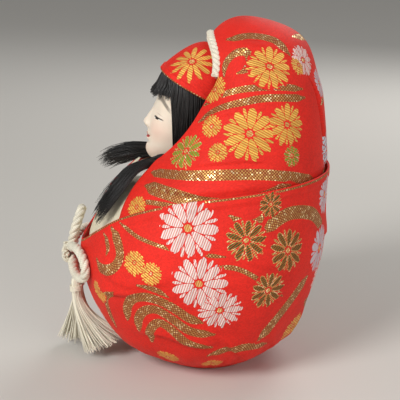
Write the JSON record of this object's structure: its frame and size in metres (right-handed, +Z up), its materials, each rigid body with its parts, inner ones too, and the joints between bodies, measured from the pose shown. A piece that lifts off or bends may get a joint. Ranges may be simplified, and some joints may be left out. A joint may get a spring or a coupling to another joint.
{
  "type": "hime daruma doll",
  "caption": "Seated egg-shaped princess doll wrapped in red brocade, with a white face, black hair, a hood, a tied cream cord and swinging tassels.",
  "frame": {"origin": "middle of the flat base, on the surface that the doll stands on", "axes": "+Z up out of the base; the doll faces -Y and its left side is +X"},
  "size_m": [0.1062, 0.117, 0.1467],
  "materials": {
    "red_brocade": "vermilion satin brocade woven with gold, white and green threads",
    "red_silk": "plain red silk",
    "cream_silk": "cream silk with a soft sheen",
    "cream_cord": "twisted cream rayon cord",
    "tassel_thread": "glossy off-white rayon threads",
    "black_hair": "combed black silk hair",
    "shell_white": "burnished white shell paste, painted features",
    "cotton": "loose cotton wadding",
    "papier_mache": "rough papier-mache",
    "card": "plain card",
    "clay": "dry clay",
    "bamboo": "split bamboo"
  },
  "bodies": {
    "doll": {"base_cover": "red_silk", "base_card": "card", "gathering_thread": "cream_cord", "base_weight": "clay", "stuffing": "cotton", "body_core": "papier_mache", "body_wadding": "cotton", "hood_wadding": "cotton", "neck_peg": "bamboo", "head": "shell_white", "hair": "black_hair", "hair_lock_left": "black_hair", "hair_lock_right": "black_hair", "cap": "red_brocade", "head_cord": "cream_cord", "hood": "red_brocade", "robe": "red_brocade", "chest_cloth": "cream_silk", "collar_left": "cream_silk", "piping_left": "red_silk", "collar_right": "cream_silk", "piping_right": "red_silk", "knot_cord": "cream_cord", "knot_heart": "cream_cord", "knot_stitch": "red_silk"},
    "left_tassel": {"tassel_left": "tassel_thread", "tassel_binding_left": "tassel_thread"},
    "right_tassel": {"tassel_right": "tassel_thread", "tassel_binding_right": "tassel_thread"}
  },
  "joints": [
    {"name": "left_tassel_swing", "type": "hinge", "parent": "doll", "child": "left_tassel", "pos_m": [0.00336, -0.05676, 0.03365], "axis": [-1, 0, 0], "range_deg": [0, 75]},
    {"name": "right_tassel_swing", "type": "hinge", "parent": "doll", "child": "right_tassel", "pos_m": [-0.00336, -0.05676, 0.03365], "axis": [-1, 0, 0], "range_deg": [-8, 75]}
  ]
}
